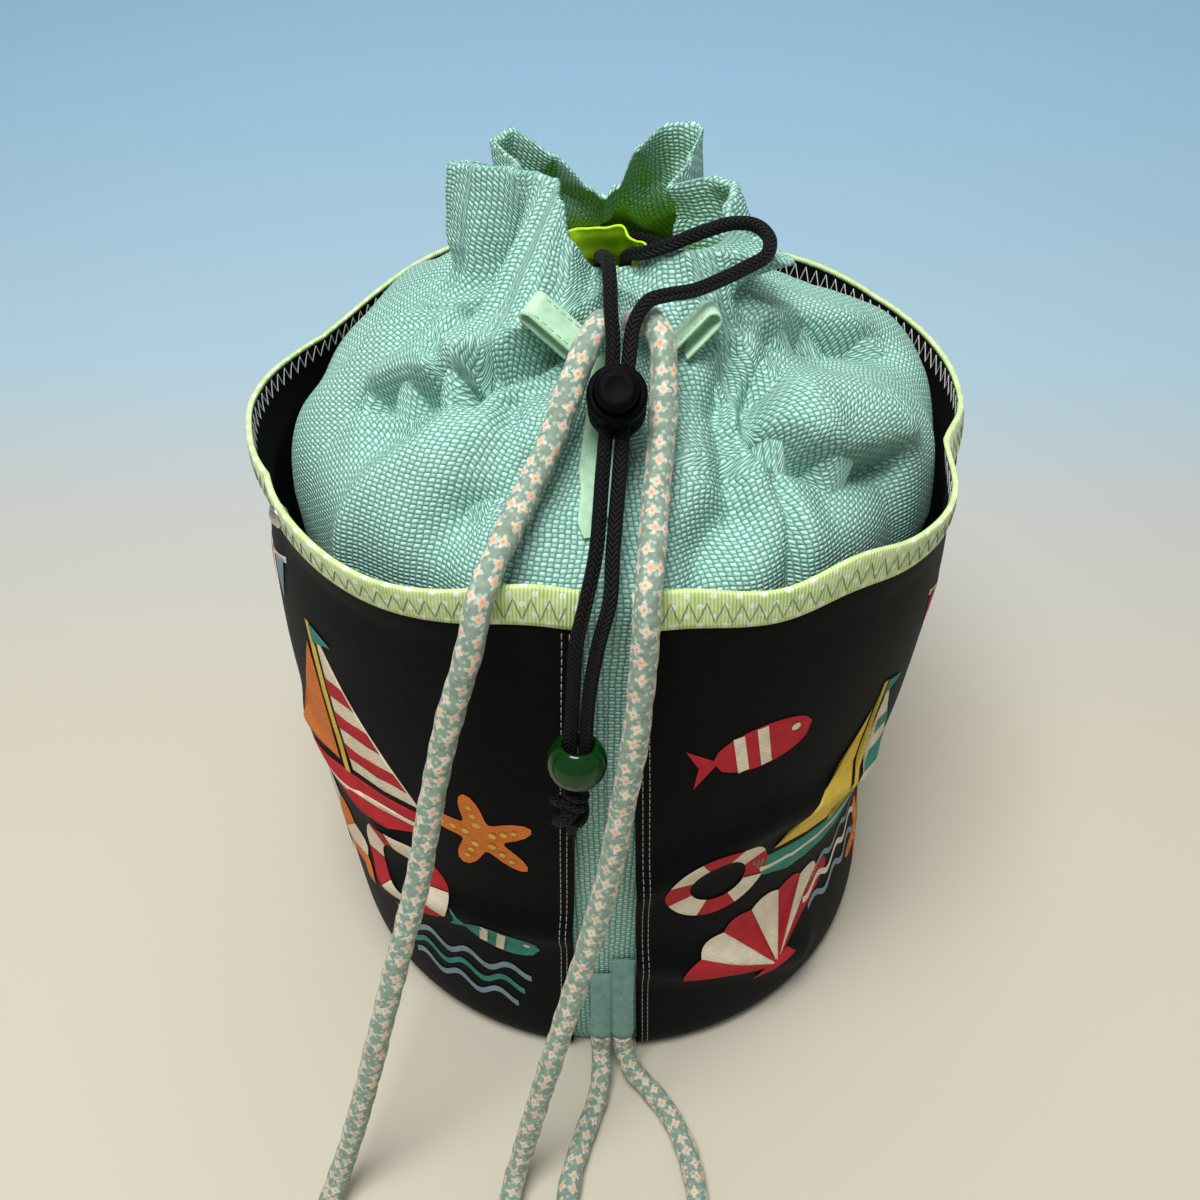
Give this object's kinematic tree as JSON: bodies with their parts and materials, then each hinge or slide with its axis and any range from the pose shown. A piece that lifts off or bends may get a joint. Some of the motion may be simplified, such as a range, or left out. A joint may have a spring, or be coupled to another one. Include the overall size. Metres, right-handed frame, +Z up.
{
  "type": "drawstring bucket bag",
  "caption": "Sewn cloth bucket bag with a gathered drawstring neck, a loose outer pocket, rope straps, a sprung cord lock and a bead on the cord.",
  "frame": {"origin": "centre of the underside of the round base, on the surface the bag stands on", "axes": "+Z up through the neck, -Y towards the front where the straps and the cords hang, +X to the right of someone who faces that front"},
  "size_m": [0.2388, 0.367, 0.31],
  "materials": {
    "teal_basketweave": "coarse basket weave, matt",
    "black_cotton": "smooth printed cotton, matt",
    "lime_lining": "plain thin cotton, matt",
    "dotted_ribbon": "ribbed ribbon with pale dots",
    "mint_tape": "folded plain cotton tape, matt",
    "floral_rope": "rope in a small-flowered cotton sleeve, matt",
    "black_braid": "round braided cord, slight sheen",
    "black_plastic": "moulded, glossy",
    "green_bead": "polished",
    "snap_metal": "polished",
    "spring_steel": "drawn wire"
  },
  "bodies": {
    "bag": {"base_panel": "black_cotton", "bag_body": "teal_basketweave", "lining": "lime_lining", "outer_pocket": "black_cotton", "rim_ribbon": "dotted_ribbon", "snap_cap_outer": "snap_metal", "snap_cap_inner": "snap_metal", "placket_tape": "mint_tape", "tape_loop_left": "mint_tape", "tape_loop_right": "mint_tape", "strap_tab_left": "teal_basketweave", "strap_tab_right": "teal_basketweave", "strap_left": "floral_rope", "strap_right": "floral_rope", "drawcord_channel": "black_braid", "drawcord_left": "black_braid", "drawcord_right": "black_braid", "cord_knot": "black_braid"},
    "cord_lock": {"lock_housing": "black_plastic", "lock_spring": "spring_steel"},
    "plunger": {"lock_plunger": "black_plastic"},
    "bead": {"bead": "green_bead"}
  },
  "joints": [
    {"name": "lock_slide", "type": "slide", "parent": "bag", "child": "cord_lock", "axis": [-0.069, -0.6995, -0.7113], "range_m": [0, 0.024]},
    {"name": "plunger_press", "type": "slide", "parent": "cord_lock", "child": "plunger", "axis": [0, 0.713, -0.7012], "range_m": [0, 0.0035], "stiffness_N_per_m": 300, "springref_m": -0.004, "deforming": ["lock_spring"]},
    {"name": "bead_slide", "type": "slide", "parent": "bag", "child": "bead", "axis": [0.0597, 0.0697, 0.9958], "range_m": [0, 0.022]}
  ]
}
